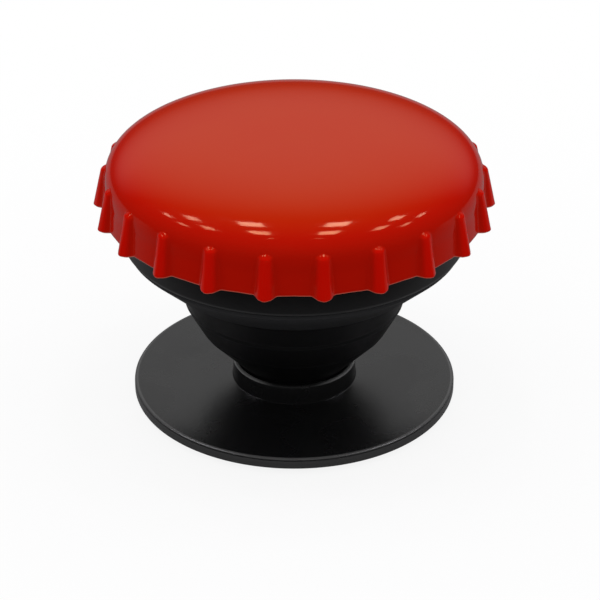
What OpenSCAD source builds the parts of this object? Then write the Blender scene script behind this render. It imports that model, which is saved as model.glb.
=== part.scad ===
// Collapsible stick-on phone grip: a round base disc that is stuck to the back of a phone,
// a moulded bellows that folds flat, and a wide head under a fluted cap.
// The origin is the centre of the pad's sticky face, and +Z points from the phone to the cap.

/* [Adhesive pad] */
// Radius of the sticky pad
pad_r = 18.2; // [15:0.1:19]
// Thickness of the sticky pad
pad_t = 0.8; // [0.5:0.05:1.5]

/* [Base disc] */
// Radius of the base disc
disc_r = 20; // [19:0.1:24]
// Thickness of the base disc
disc_t = 1.3; // [1.2:0.05:2.5]
// Rounding of the disc's edges
disc_edge_r = 0.35; // [0.1:0.05:0.5]
// Outer radius of the raised collar round the socket
collar_r = 7.65; // [7.2:0.05:8.6]
// Wall of the collar
collar_wall = 0.65; // [0.4:0.05:0.8]
// Height of the collar above the disc
collar_h = 2.5; // [2.3:0.05:3.5]
// Rounding of the collar's top edges
collar_edge_r = 0.18; // [0.05:0.01:0.2]
// Fillet between the collar and the disc
collar_fillet_r = 0.4; // [0.1:0.05:0.8]
// Depth of the recess under the disc for the plug's flange
recess_depth = 0.7; // [0.6:0.05:0.8]

/* [Foot plug and washer] */
// Reach of the plug's flange beyond its shank
flange_reach = 1.95; // [1.3:0.05:2.4]
// Gap between the plug's flange and the recess round it
flange_gap = 0.3; // [0.2:0.05:0.5]
// Thickness of the plug's flange
flange_t = 0.5; // [0.3:0.05:0.6]
// Reach of the plug's barbs beyond its shank
barb_reach = 0.55; // [0.35:0.05:0.8]
// Height of the plug's barbed head
barb_h = 1.3; // [0.9:0.05:1.8]
// Wall of the plug round its hollow
plug_wall = 1.65; // [1:0.05:2.2]
// Solid floor left under the hollow of the plug
plug_floor_t = 0.8; // [0.5:0.05:1]
// Width of the two crossed slots that let the barbed fingers bend
plug_slot_w = 0.8; // [0.4:0.05:1.2]
// Width of the washer's ring, from the shank out
washer_w = 1.55; // [1:0.05:2]
// Thickness of the washer
washer_t = 0.7; // [0.4:0.05:1]

/* [Bellows] */
// Wall of the bellows
bellows_wall = 0.9; // [0.7:0.05:1.1]
// Thickness of the floor inside the foot
floor_t = 0.9; // [0.6:0.05:1.1]
// Height of the lower cone above the collar
low_fold_h = 4.9; // [4:0.1:5.5]
// Lean of the middle wall below its ridge, measured outwards
mid_low_lean = 2.1; // [1.5:0.1:2.6]
// Height of the ridge above the collar
mid_ridge_h = 8.7; // [7.5:0.1:9.5]
// Lean of the middle wall above its ridge, measured outwards
mid_high_lean = 1.6; // [1:0.1:2]
// Height of the top of the middle wall above the collar
step_low_h = 12.4; // [11:0.1:12.8]
// Width of the step from the middle wall to the upper cone
step_w = 1.4; // [1:0.1:1.8]
// Rise of the step from the middle wall to the upper cone
step_rise = 0.9; // [0.4:0.1:1.2]
// Width of the upper cone, from the step out to the rim
upper_cone_w = 3.9; // [3:0.1:4.4]
// Inset of the bellows' rim from the face of the drum above it
rim_inset = 0.6; // [0.3:0.05:1]
// Height of the rim's edge above the collar
rim_h = 16.85; // [16:0.05:19]
// Height of the rim's straight edge
rim_edge_h = 0.5; // [0.2:0.05:0.8]
// Depth of the thin grooves at the fold lines
fold_groove = 0.12; // [0.05:0.01:0.3]
// Width of the lip that lies under the head's web
lip_w = 1.9; // [1.3:0.1:2.5]

/* [Top plate] */
// Height of the drum
drum_h = 4.4; // [3.5:0.1:5]
// Wall of the drum and the platform
plate_wall = 1.2; // [1:0.05:1.5]
// Rounding of the drum's lower outer edge
drum_edge_r = 0.5; // [0.2:0.05:0.6]
// Thickness of the bonding tape
tape_t = 0.5; // [0.3:0.05:0.8]
// Margin between the tape and the platform's edge
tape_margin = 0.6; // [0.3:0.1:1.5]

/* [Crown cap] */
// Number of teeth round the skirt
tooth_count = 22; // [18:1:26]
// Radius of the cap at the shoulder
shoulder_r = 22.8; // [22.6:0.1:23.2]
// Height of the shoulder above the lowest point of the flat panels
shoulder_h = 2.7; // [2:0.1:3.5]
// Height of the domed crown above the shoulder
crown_h = 6.05; // [5.5:0.05:8]
// Flare of the flat panels from the shoulder out to their lower edge
skirt_flare = 0.3; // [0.1:0.05:0.6]
// Depth of the panels' lower edge below the top face of the drum
skirt_drop = 0.3; // [0:0.05:1]
// Reach of the tooth tips beyond the panels' lower edge
tooth_reach = 1.2; // [0.8:0.05:1.6]
// Drop of the tooth tips below the panels' lower edge
tooth_drop = 0.3; // [0.2:0.05:1]
// Reach of the tooth heads beyond the shoulder
tooth_head_reach = 0.28; // [0:0.01:0.5]
// Height of the tooth heads above the shoulder
tooth_head_h = 1.5; // [1:0.1:2.6]
// Length of the rounded top of a tooth
tooth_head_len = 0.8; // [0.4:0.1:1.2]
// Half width of a tooth's crest
crest_half_w = 0.28; // [0.1:0.01:0.6]
// Half width of a tooth and its fillets at the head
tooth_head_half_w = 0.95; // [0.7:0.05:1.2]
// Half width of a tooth and its fillets at the tip
tooth_tip_half_w = 1.45; // [1:0.05:1.7]
// Rise of the panels' lower edge between the teeth
panel_arch = 0.12; // [0:0.01:0.4]
// Wall of the skirt
skirt_wall = 1.2; // [0.9:0.05:1.4]
// Thickness of the cap at its centre
crown_t = 1.9; // [1.6:0.05:2.2]

/* [Fits] */
// Radial clearance of the plug in the socket bore
plug_fit = 0.05; // [0.02:0.01:0.1]
// Radial clearance of the bellows' foot in the collar
foot_fit = 0.1; // [0.05:0.01:0.1]
// Gap between the washer and the wall of the bellows' foot
washer_gap = 0.5; // [0.3:0.05:0.8]
// Clearance between faces that turn on each other
face_gap = 0.1; // [0.05:0.01:0.15]
// Clearance between the bellows' lip and the drum
lip_fit = 0.15; // [0.05:0.01:0.3]
// Gap between the drum and the inside of the skirt
drum_gap = 0.9; // [0.5:0.05:1.2]
// Gap between the platform and the rounding of the cap's ceiling
platform_gap = 0.5; // [0.3:0.05:1]

/* [Hidden] */
$fn = 96;

// Overrun of every cut past the face that it opens
overrun = 0.2;
// Straight segments in each rounded corner of an outline
corner_steps = 4;

// Heights of the stack, from the sticky face up
disc_z = pad_t;
disc_top_z = disc_z + disc_t;
collar_top_z = disc_top_z + collar_h;
flange_z = disc_z + face_gap;
floor_z = disc_top_z + face_gap;
washer_z = floor_z + floor_t;
barb_z = washer_z + washer_t;
rim_z = collar_top_z + rim_h;
drum_z = rim_z + rim_edge_h + face_gap;
drum_top_z = drum_z + drum_h;
web_z = drum_top_z - plate_wall;

// Radii of the foot, from the collar inwards
socket_r = collar_r - collar_wall;
foot_r = socket_r - foot_fit;
foot_bore_r = foot_r - bellows_wall;
washer_r = foot_bore_r - washer_gap;
shank_r = washer_r - washer_w;
socket_bore_r = shank_r + plug_fit;
plug_hollow_r = shank_r - plug_wall;
barb_r = shank_r + barb_reach;
flange_r = shank_r + flange_reach;
recess_r = flange_r + flange_gap;

// Heights of the cap
edge_z = drum_top_z - skirt_drop;
shoulder_z = edge_z + shoulder_h;
cap_top_z = shoulder_z + crown_h;
head_z = shoulder_z + tooth_head_h;
ceiling_z = cap_top_z - crown_t;
tape_z = ceiling_z - tape_t;

// Share of the shoulder's radius at which the cap's flat ceiling ends
ceiling_share = 0.75;

// Radii of the head, from the cap's shoulder inwards
skirt_r = shoulder_r + skirt_flare;
tooth_tip_r = skirt_r + tooth_reach;
tooth_head_r = shoulder_r + tooth_head_reach;
platform_r = shoulder_r * ceiling_share - platform_gap;
tape_r = platform_r - tape_margin;
drum_r = skirt_r - skirt_wall - drum_gap;
drum_bore_r = drum_r - plate_wall;

// Radii of the bellows, from the head's drum inwards
rim_r = drum_r - rim_inset;
step_high_r = rim_r - upper_cone_w;
step_low_r = step_high_r - step_w;
mid_ridge_r = step_low_r - mid_high_lean;
low_fold_r = mid_ridge_r - mid_low_lean;
lip_r = drum_bore_r - lip_fit;
lip_top_z = web_z - lip_fit;

// Exponent of the domed crown: 2 is an ellipse, and larger values are squarer
crown_exponent = 3.3;
// Rings of the crown, as shares of the quarter turn from the shoulder to the top
crown_turn_shares = [0.98, 0.86, 0.72, 0.58, 0.46, 0.35, 0.27, 0.2];
// Rings of the skirt, as shares of the way from the tooth heads to the lower edge
skirt_way_shares = [-0.19, -0.16, -0.1, -0.03, 0.05, 0.33, 0.65, 0.95];
// Lip of the skirt: shares of its wall inwards, and of its rounding down
lip_in_share = 0.45;
lip_down_share = 0.12;
// Rise and inset of the inner wall's bend, as shares of the ceiling's rise and of the wall
bend_rise_share = 0.55;
bend_in_share = 0.35;

// Outline helpers
function unit(v) = v / norm(v);
function left_of(v) = [-v[1], v[0]];
function reversed(list) = [for (i = [len(list) - 1:-1:0]) list[i]];

// Arc that rounds the corner b between the points a and c with radius r
function corner(a, b, c, r) =
    let (u = unit(a - b), v = unit(c - b), half = acos(u * v) / 2,
         centre = b + unit(u + v) * r / sin(half),
         start = b + u * r / tan(half), end = b + v * r / tan(half),
         p = start - centre, q = end - centre,
         turn = atan2(p[0] * q[1] - p[1] * q[0], p * q))
    [for (i = [0:corner_steps]) let (t = turn * i / corner_steps)
        centre + [p[0] * cos(t) - p[1] * sin(t), p[0] * sin(t) + p[1] * cos(t)]];

// Line parallel to an open outline, on its left, at a distance d
function parallel(line, d) =
    [for (i = [0:len(line) - 1])
        let (before = unit(line[max(i, 1)] - line[max(i, 1) - 1]),
             after = unit(line[min(i + 1, len(line) - 1)] - line[min(i + 1, len(line) - 1) - 1]),
             mean = unit(left_of(before) + left_of(after)))
        line[i] + mean * d / (mean * left_of(before))];

module ring(r_in, r_out, z, h) {
    translate([0, 0, z])
        difference() {
            cylinder(r = r_out, h = h);
            translate([0, 0, -overrun]) cylinder(r = r_in, h = h + 2 * overrun);
        }
}

// Soft round pad with glue on both faces
module adhesive_pad() {
    color("#26282b") cylinder(r = pad_r, h = pad_t);
}

// Hard disc with a raised collar, a through bore and a recess underneath
module base_disc() {
    color("#1b1c1e")
        rotate_extrude()
            polygon(concat(
                [[socket_bore_r, disc_z + recess_depth], [recess_r, disc_z + recess_depth],
                 [recess_r, disc_z]],
                corner([recess_r, disc_z], [disc_r, disc_z], [disc_r, disc_top_z], disc_edge_r),
                corner([disc_r, disc_z], [disc_r, disc_top_z], [collar_r, disc_top_z], disc_edge_r),
                corner([disc_r, disc_top_z], [collar_r, disc_top_z], [collar_r, collar_top_z],
                       collar_fillet_r),
                corner([collar_r, disc_top_z], [collar_r, collar_top_z], [socket_r, collar_top_z],
                       collar_edge_r),
                corner([collar_r, collar_top_z], [socket_r, collar_top_z], [socket_r, disc_top_z],
                       collar_edge_r),
                [[socket_r, disc_top_z], [socket_bore_r, disc_top_z]]));
}

// Snap plug that clamps the bellows' floor and turns in the disc's bore
module foot_plug() {
    color("#303234")
        difference() {
            rotate_extrude()
                polygon([[0, flange_z], [flange_r, flange_z], [flange_r, flange_z + flange_t],
                         [shank_r, flange_z + flange_t], [shank_r, barb_z], [barb_r, barb_z],
                         [shank_r, barb_z + barb_h], [0, barb_z + barb_h]]);
            translate([0, 0, flange_z + plug_floor_t])
                cylinder(r = plug_hollow_r, h = barb_z + barb_h);
            for (turn = [0, 90])
                rotate(turn)
                    translate([-barb_r - overrun, -plug_slot_w / 2, floor_z + face_gap])
                        cube([2 * (barb_r + overrun), plug_slot_w, barb_z + barb_h]);
        }
}

// Flat ring that spreads the plug's grip over the bellows' floor
module foot_washer() {
    color("#55585c") ring(shank_r, washer_r, washer_z, washer_t);
}

// Fold points of the bellows' outer face, from the collar up to the rim
fold_points = [
    [foot_r, collar_top_z + face_gap],
    [low_fold_r, collar_top_z + low_fold_h],
    [mid_ridge_r, collar_top_z + mid_ridge_h],
    [step_low_r, collar_top_z + step_low_h],
    [step_high_r, collar_top_z + step_low_h + step_rise],
    [rim_r, rim_z]];

// Outer line of the bellows, with a groove over the lower fold and one over the ridge
function bellows_line() =
    let (foot = fold_points[0], low = fold_points[1], ridge = fold_points[2],
         step_low = fold_points[3], step_high = fold_points[4], rim = fold_points[5],
         g = fold_groove)
    concat([foot, low, low + [g / 2, g * 2], low + [g * 2, g * 3]],
           corner(low + [g * 2, g * 3], ridge, ridge + [-g, g * 2], g),
           [ridge + [-g / 2, g * 3]],
           corner(ridge, step_low, step_high, g),
           corner(step_low, step_high, rim, g),
           corner(step_high, rim, rim + [0, rim_edge_h], g));

// Thin moulded wall that folds flat, with a foot in the collar and a lip inside the head
module bellows() {
    inner = parallel(fold_points, bellows_wall);
    rim_top = rim_z + rim_edge_h;
    inner_lip_r = lip_r - bellows_wall;
    color("#141415")
        rotate_extrude()
            polygon(concat(
                [[shank_r, floor_z], [foot_r, floor_z]],
                bellows_line(),
                [[rim_r, rim_top], [lip_r, rim_top], [lip_r, lip_top_z],
                 [lip_r - lip_w, lip_top_z], [lip_r - lip_w, lip_top_z - bellows_wall],
                 [inner_lip_r, lip_top_z - bellows_wall], [inner_lip_r, rim_z]],
                reversed([for (i = [1:len(inner) - 2]) inner[i]]),
                [[foot_bore_r, collar_top_z + face_gap], [foot_bore_r, washer_z],
                 [shank_r, washer_z]]));
}

// Stepped plate: its drum shows under the cap, and its platform carries the cap
module top_plate() {
    hollow_r = platform_r - plate_wall;
    color("#1b1c1e")
        rotate_extrude()
            polygon(concat(
                [[drum_bore_r, drum_z]],
                corner([drum_bore_r, drum_z], [drum_r, drum_z], [drum_r, drum_top_z], drum_edge_r),
                [[drum_r, drum_top_z], [platform_r, drum_top_z], [platform_r, tape_z], [0, tape_z],
                 [0, tape_z - plate_wall], [hollow_r, tape_z - plate_wall], [hollow_r, web_z],
                 [drum_bore_r, web_z]]));
}

// Double-sided tape between the platform and the cap's ceiling
module cap_tape() {
    color("#d8d5cc") translate([0, 0, tape_z]) cylinder(r = tape_r, h = tape_t);
}

// Radius of the plain cap, without teeth, at a height z
function plain_r(z) =
    z > shoulder_z
        ? shoulder_r * pow(1 - pow(min(1, (z - shoulder_z) / crown_h), crown_exponent),
                           1 / crown_exponent)
        : skirt_r + (shoulder_r - skirt_r) * (z - edge_z) / shoulder_h;

// Height of the plain crown at a radius r
function crown_z(r) =
    shoulder_z + crown_h * pow(1 - pow(min(1, r / shoulder_r), crown_exponent), 1 / crown_exponent);

// How far a tooth's crest stands out of the plain cap at a height z, with a round head
function relief(z) =
    let (line_r = tooth_head_r + (tooth_tip_r - tooth_head_r) * (head_z - z)
                  / (head_z - edge_z + tooth_drop),
         past = max(0, z - head_z) / tooth_head_len)
    past >= 1 ? 0 : max(0, line_r - plain_r(z)) * sqrt(1 - past * past);

// Half width of a tooth with its fillets at a height z
function tooth_half_w(z) =
    tooth_tip_half_w + (tooth_head_half_w - tooth_tip_half_w)
    * min(1, max(0, (z - edge_z) / (head_z - edge_z)));

// Places across one tooth and its panel, in shares of the crest, the fillet and the panel:
// how far out the point lies from the tooth's centre, and how much of the relief it has
place_shares = [[0, 0, 0, 1], [1, 0, 0, 1], [1, 0.25, 0, 0.84], [1, 0.5, 0, 0.5],
                [1, 0.75, 0, 0.16], [1, 1, 0, 0], [1, 1, 1, 0]];
half_places = len(place_shares);

// Distance along the wall from a tooth's centre to one of its places
function place_s(i, z) =
    let (p = place_shares[i], fillet = tooth_half_w(z) - crest_half_w,
         panel = PI * skirt_r / tooth_count - tooth_half_w(z))
    p[0] * crest_half_w + p[1] * fillet + p[2] * panel;

// One pitch of places: the tooth's centre and its right side, then the next tooth's left side
pitch_places = concat([for (i = [0:half_places - 1]) [i, 1]],
                      [for (i = [half_places - 2:-1:1]) [i, -1]]);
columns = tooth_count * len(pitch_places);

// Angle of a column at a height z, with half a pitch between the front and the first tooth
function column_angle(k, z) =
    let (pitch = 360 / tooth_count, n = floor(k / len(pitch_places)),
         place = pitch_places[k % len(pitch_places)],
         turn = place_s(place[0], z) / (PI * skirt_r) * 180)
    -90 + pitch * (n + (place[1] > 0 ? 0.5 : 1.5)) + place[1] * turn;
function column_weight(k) = place_shares[pitch_places[k % len(pitch_places)][0]][3];
function column_arch(k) =
    let (p = place_shares[pitch_places[k % len(pitch_places)][0]]) (p[0] + p[1] + p[2]) / 3;

// Height of the scalloped lower edge at a column
function lower_z(k) =
    edge_z - tooth_drop * column_weight(k)
    - panel_arch * (1 - column_arch(k)) * (1 - column_weight(k));

function at(angle, r, z) = [r * cos(angle), r * sin(angle), z];

// Point of the outer wall at a column and a share of the way from tooth heads to lower edge
function skirt_point(k, share) =
    let (z = head_z + share * (lower_z(k) - head_z))
    at(column_angle(k, z), plain_r(z) + relief(z) * column_weight(k), z);

// Rings of points from the crown's top, down the skirt and up inside to the ceiling
function crown_ring(turn_share) =
    let (r = shoulder_r * pow(cos(90 * turn_share), 2 / crown_exponent), z = crown_z(r))
    [for (k = [0:columns - 1]) at(column_angle(k, head_z), r, z)];
function lip_ring(in_share, down_share) =
    [for (k = [0:columns - 1])
        let (z = lower_z(k), r = plain_r(z) + relief(z) * column_weight(k),
             thick = r - plain_r(z) + skirt_wall)
        at(column_angle(k, z), r - in_share * thick, z - down_share * skirt_wall)];
function inner_ring(r, z) = [for (k = [0:columns - 1]) at(column_angle(k, head_z), r, z)];

cap_rings = concat(
    [for (t = crown_turn_shares) crown_ring(t)],
    [for (s = skirt_way_shares) [for (k = [0:columns - 1]) skirt_point(k, s)]],
    [lip_ring(0, 0), lip_ring(lip_in_share, lip_down_share), lip_ring(1, 0),
     inner_ring(shoulder_r - skirt_wall, shoulder_z),
     inner_ring(shoulder_r - skirt_wall * (1 + bend_in_share),
                shoulder_z + (ceiling_z - shoulder_z) * bend_rise_share),
     inner_ring(shoulder_r * ceiling_share, ceiling_z)]);

// Closed skin over a stack of rings, with a fan to a point at each end
module skin(rings, first, last) {
    n = len(rings[0]);
    m = len(rings);
    points = concat([for (ring = rings) each ring], [first, last]);
    sides = [for (i = [0:m - 2]) for (k = [0:n - 1])
        let (a = i * n + k, b = i * n + (k + 1) % n)
        each [[a, a + n, b], [b, a + n, b + n]]];
    top = [for (k = [0:n - 1]) [m * n, k, (k + 1) % n]];
    bottom = [for (k = [0:n - 1]) [m * n + 1, (m - 1) * n + (k + 1) % n, (m - 1) * n + k]];
    polyhedron(points = points, faces = concat(sides, top, bottom));
}

// One-piece moulded cap with a domed crown, a fluted skirt and a flat ceiling inside
module crown_cap() {
    color("#c0361c") skin(cap_rings, [0, 0, cap_top_z], [0, 0, ceiling_z]);
}

adhesive_pad();
base_disc();
foot_plug();
foot_washer();
bellows();
top_plate();
cap_tape();
crown_cap();
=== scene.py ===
# %% [markdown]
# A phone grip with a crown-cap head, dressed round its CAD frame.
# The real grip is stuck to the back of a phone and pulled out, so that two fingers can hold it.
# Here it stands on its sticky face, pulled out, as in the photo. The CAD model has every solid in
# its place, with its joints. This lesson gives each visible piece its smooth final mesh and its
# finish, and sets the camera and the light. Everything is in metres, in the CAD model's own
# frame, so nothing is moved to fit.

# %% Load the frame
import math

import bpy
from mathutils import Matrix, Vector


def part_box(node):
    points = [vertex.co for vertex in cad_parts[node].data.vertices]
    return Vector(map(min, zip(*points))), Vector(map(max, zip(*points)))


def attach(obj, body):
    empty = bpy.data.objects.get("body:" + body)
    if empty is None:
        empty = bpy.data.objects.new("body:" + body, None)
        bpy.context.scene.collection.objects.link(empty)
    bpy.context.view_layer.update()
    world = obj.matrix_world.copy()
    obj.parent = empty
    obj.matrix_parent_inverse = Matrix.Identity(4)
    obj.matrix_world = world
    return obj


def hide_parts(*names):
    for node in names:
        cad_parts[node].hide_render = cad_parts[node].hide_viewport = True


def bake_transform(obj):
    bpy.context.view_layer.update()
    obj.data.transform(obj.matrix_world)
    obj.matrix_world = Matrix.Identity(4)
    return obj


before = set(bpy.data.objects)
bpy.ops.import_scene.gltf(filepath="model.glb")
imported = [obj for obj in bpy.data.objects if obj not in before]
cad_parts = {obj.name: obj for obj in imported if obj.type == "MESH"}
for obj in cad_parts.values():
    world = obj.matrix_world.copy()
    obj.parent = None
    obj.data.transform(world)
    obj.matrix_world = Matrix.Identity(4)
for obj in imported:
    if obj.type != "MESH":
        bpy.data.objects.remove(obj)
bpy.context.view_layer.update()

# %% [markdown]
# Sizes that a box can't tell, such as a wall, are named here in millimetres, as the maker would
# write them, and MM turns them into metres.

# %% Read the main sizes from the frame
MM = 0.001
disc_low, disc_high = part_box("base_disc")
bellows_low, bellows_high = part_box("bellows")
plate_low, plate_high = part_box("top_plate")
cap_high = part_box("crown_cap")[1]
pad_low, pad_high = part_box("adhesive_pad")
DISC_R = disc_high.x
COLLAR_TOP = disc_high.z
DRUM_R = plate_high.x
DRUM_Z = plate_low.z
RIM_R = bellows_high.x
CAP_TOP = cap_high.z
print("disc radius", round(DISC_R / MM, 2), "collar top", round(COLLAR_TOP / MM, 2),
      "drum radius", round(DRUM_R / MM, 2), "cap top", round(CAP_TOP / MM, 2))

# %% [markdown]
# The camera comes first, because every later look depends on it. The photo looks down on the grip
# at about 30 degrees with a long lens. Its distance and its focal length were worked out from the
# round disc, the collar and the tooth tips, which the camera must show at their places in the
# 600 pixel frame. The lens is shifted a little, because the grip isn't in the middle of the photo.

# %% Set the camera as in the photo
CAMERA_RISE = math.radians(29.6)
CAMERA_FAR = 300 * MM
AIM_Z = 12.8 * MM
PHOTO_PX = 600
FOCAL_PX = 2430
CENTRE_PX = (294.3, 298.0)
SENSOR = 36


def add_camera():
    """Camera that looks along +Y and down, aimed at a point on the grip's axis."""
    data = bpy.data.cameras.new("photo camera")
    data.sensor_width = SENSOR
    data.lens = FOCAL_PX / PHOTO_PX * SENSOR
    data.shift_x = (PHOTO_PX / 2 - CENTRE_PX[0]) / PHOTO_PX
    data.shift_y = (CENTRE_PX[1] - PHOTO_PX / 2) / PHOTO_PX
    data.clip_start = 10 * MM
    data.clip_end = 10
    camera = bpy.data.objects.new("photo camera", data)
    camera.location = (0, -CAMERA_FAR * math.cos(CAMERA_RISE),
                       AIM_Z + CAMERA_FAR * math.sin(CAMERA_RISE))
    camera.rotation_euler = (math.pi / 2 - CAMERA_RISE, 0, 0)
    bpy.context.scene.collection.objects.link(camera)
    bpy.context.scene.camera = camera
    print("lens", round(data.lens, 1), "mm at", [round(c, 3) for c in camera.location])


add_camera()

# %% [markdown]
# Nearly every piece of this grip is round, so it is made as a potter or a lathe makes it: an
# outline is drawn beside the axis and spun round it. Blender's tools act on whatever is selected,
# and the CAD nodes are still selected after loading, so the first helper leaves nothing selected.
# The others draw an outline by extruding one vertex from point to point, spin it, merge its seam
# and shade it. Curves come from two more helpers: one gives the points of an arc, and one rounds
# the corners of an outline, each by its own radius.

# %% Helpers for turned pieces
def deselect_all():
    """Leave no object selected, so that a tool can't touch a CAD node."""
    if bpy.context.object and bpy.context.object.mode != "OBJECT":
        bpy.ops.object.mode_set(mode="OBJECT")
    bpy.ops.object.select_all(action="DESELECT")
    bpy.context.view_layer.objects.active = None


def draw_outline(name, points):
    """Draw a chain of vertices in the XZ plane: a plane is merged to one vertex, then extruded."""
    deselect_all()
    x, z = points[0]
    bpy.ops.mesh.primitive_plane_add(size=MM, location=(0, 0, 0))
    piece = bpy.context.object
    piece.name = name
    bpy.ops.object.mode_set(mode="EDIT")
    bpy.ops.mesh.select_all(action="SELECT")
    bpy.ops.mesh.merge(type="CENTER")
    bpy.ops.transform.translate(value=(x, 0, z))
    for (x0, z0), (x1, z1) in zip(points, points[1:]):
        bpy.ops.mesh.extrude_region_move(
            TRANSFORM_OT_translate={"value": (x1 - x0, 0, z1 - z0)})
    bpy.ops.object.mode_set(mode="OBJECT")
    return piece


def spin_outline(piece, steps, angle=2 * math.pi):
    """Turn the outline round the Z axis, as a potter turns a template."""
    bpy.ops.object.mode_set(mode="EDIT")
    bpy.ops.mesh.select_all(action="SELECT")
    bpy.ops.mesh.spin(steps=steps, angle=angle, center=(0, 0, 0), axis=(0, 0, 1))
    bpy.ops.object.mode_set(mode="OBJECT")


def close_skin(piece, gap=1e-6):
    """Merge the seam and the poles, then point every face outwards."""
    bpy.ops.object.mode_set(mode="EDIT")
    bpy.ops.mesh.select_all(action="SELECT")
    bpy.ops.mesh.remove_doubles(threshold=gap)
    bpy.ops.mesh.normals_make_consistent(inside=False)
    bpy.ops.object.mode_set(mode="OBJECT")


def smooth(piece, degrees=35):
    """Shade smooth, but keep a crease where two faces meet at more than this angle."""
    deselect_all()
    piece.select_set(True)
    bpy.context.view_layer.objects.active = piece
    bpy.ops.object.shade_smooth_by_angle(angle=math.radians(degrees))
    print(piece.name, "has", len(piece.data.polygons), "faces")


def arc(centre, radius, start, end, steps):
    """Points on an arc in the XZ plane, with angles in degrees from +X towards +Z."""
    return [(centre[0] + radius * math.cos(math.radians(start + (end - start) * i / steps)),
             centre[1] + radius * math.sin(math.radians(start + (end - start) * i / steps)))
            for i in range(steps + 1)]


def rounded(points, radii, steps=4):
    """An open outline whose corners between the ends are rounded, each by its own radius."""
    out = [points[0]]
    for i in range(1, len(points) - 1):
        (ax, az), (bx, bz), (cx, cz) = points[i - 1], points[i], points[i + 1]
        r = radii[i]
        if not r:
            out.append((bx, bz))
            continue
        u = (ax - bx, az - bz)
        v = (cx - bx, cz - bz)
        lu, lv = math.hypot(*u), math.hypot(*v)
        u = (u[0] / lu, u[1] / lu)
        v = (v[0] / lv, v[1] / lv)
        half = math.acos(max(-1, min(1, u[0] * v[0] + u[1] * v[1]))) / 2
        reach = min(r / math.tan(half), lu * 0.49, lv * 0.49)
        r = reach * math.tan(half)
        mid = (u[0] + v[0], u[1] + v[1])
        lm = math.hypot(*mid)
        centre = (bx + mid[0] / lm * r / math.sin(half), bz + mid[1] / lm * r / math.sin(half))
        p = (bx + u[0] * reach - centre[0], bz + u[1] * reach - centre[1])
        q = (bx + v[0] * reach - centre[0], bz + v[1] * reach - centre[1])
        turn = math.atan2(p[0] * q[1] - p[1] * q[0], p[0] * q[0] + p[1] * q[1])
        for k in range(steps + 1):
            t = turn * k / steps
            out.append((centre[0] + p[0] * math.cos(t) - p[1] * math.sin(t),
                        centre[1] + p[0] * math.sin(t) + p[1] * math.cos(t)))
    return out + [points[-1]]


# %% [markdown]
# The stage is a plain white floor and a white background, as in a shop picture. The background is
# white for the camera by its colour, with strength 1. The floor is mostly its own white, and near
# the grip a small share of it is lit by the lamps, so that it keeps a soft shadow there. What
# glossy faces mirror is another matter, and the photo tells it: the flat disc and the top of the
# cap show a pale backdrop behind them, the disc's rim and the cap's lower edge show a pale floor
# close by, and the front panels show nothing bright. So mirror-like rays meet a pale band behind,
# a pale patch of floor round the grip, and darkness in front, while matt light stays even all
# round. The Light Path node tells the three kinds of rays apart.

# %% Floor and background
FLOOR_SIDE = 3.0
FLOOR_WHITE = 0.97
FLOOR_LIT_SHARE = 0.12
FLOOR_FADE = (20 * MM, 120 * MM)
FILL = 0.62
FLOOR_BOUNCE = 0.45
DARK_ROOM = 0.014
BACKDROP = 0.45
BACKDROP_TURN = (0.45, 0.85)
BACKDROP_RISE = (0.1, 0.46)
BACKDROP_LOW = 0.05
NEAR_FLOOR = 0.42
NEAR_EDGE = (28 * MM, 46 * MM)
TABLE_DARK = 0.012
TABLE_PALE = 0.26
TABLE_TURN = (-60 * MM, 30 * MM)


def seen_mask(nodes, links):
    """1 for rays that come from the camera, straight or through glass, and 0 for all others."""
    path = nodes.new("ShaderNodeLightPath")
    either = nodes.new("ShaderNodeMath")
    either.operation = "MAXIMUM"
    links.new(path.outputs["Is Camera Ray"], either.inputs[0])
    links.new(path.outputs["Is Transmission Ray"], either.inputs[1])
    return either.outputs[0]


def ranged(tree, value, low, high, out_low=0.0, out_high=1.0):
    """Map a value from one range to another, held at the ends."""
    node = tree.nodes.new("ShaderNodeMapRange")
    node.interpolation_type = "SMOOTHSTEP"
    tree.links.new(value, node.inputs["Value"])
    for label, number in (("From Min", low), ("From Max", high), ("To Min", out_low),
                          ("To Max", out_high)):
        node.inputs[label].default_value = number
    return node.outputs["Result"]


def sums(tree, operation, a, b):
    """Math node on two sockets or numbers."""
    node = tree.nodes.new("ShaderNodeMath")
    node.operation = operation
    for socket, value in zip(node.inputs, (a, b)):
        if isinstance(value, (int, float)):
            socket.default_value = value
        else:
            tree.links.new(value, socket)
    return node.outputs[0]


def grey_ramp(tree, value, stops):
    """Colour ramp with (place, grey) stops."""
    ramp = tree.nodes.new("ShaderNodeValToRGB")
    points = ramp.color_ramp.elements
    for i, (place, grey) in enumerate(stops):
        point = points[i] if i < 2 else points.new(place)
        point.position = place
        point.color = (grey, grey, grey, 1)
    tree.links.new(value, ramp.inputs["Fac"])
    return ramp.outputs["Color"]


def blend_colours(tree, mask, first, second):
    """Colour that goes from first to second by a mask; each is a socket or a grey."""
    mix = tree.nodes.new("ShaderNodeMix")
    mix.data_type = "RGBA"
    tree.links.new(mask, mix.inputs["Factor"])
    for label, value in (("A", first), ("B", second)):
        if isinstance(value, (int, float)):
            mix.inputs[label].default_value = (value, value, value, 1)
        else:
            tree.links.new(value, mix.inputs[label])
    return mix.outputs["Result"]


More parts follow.
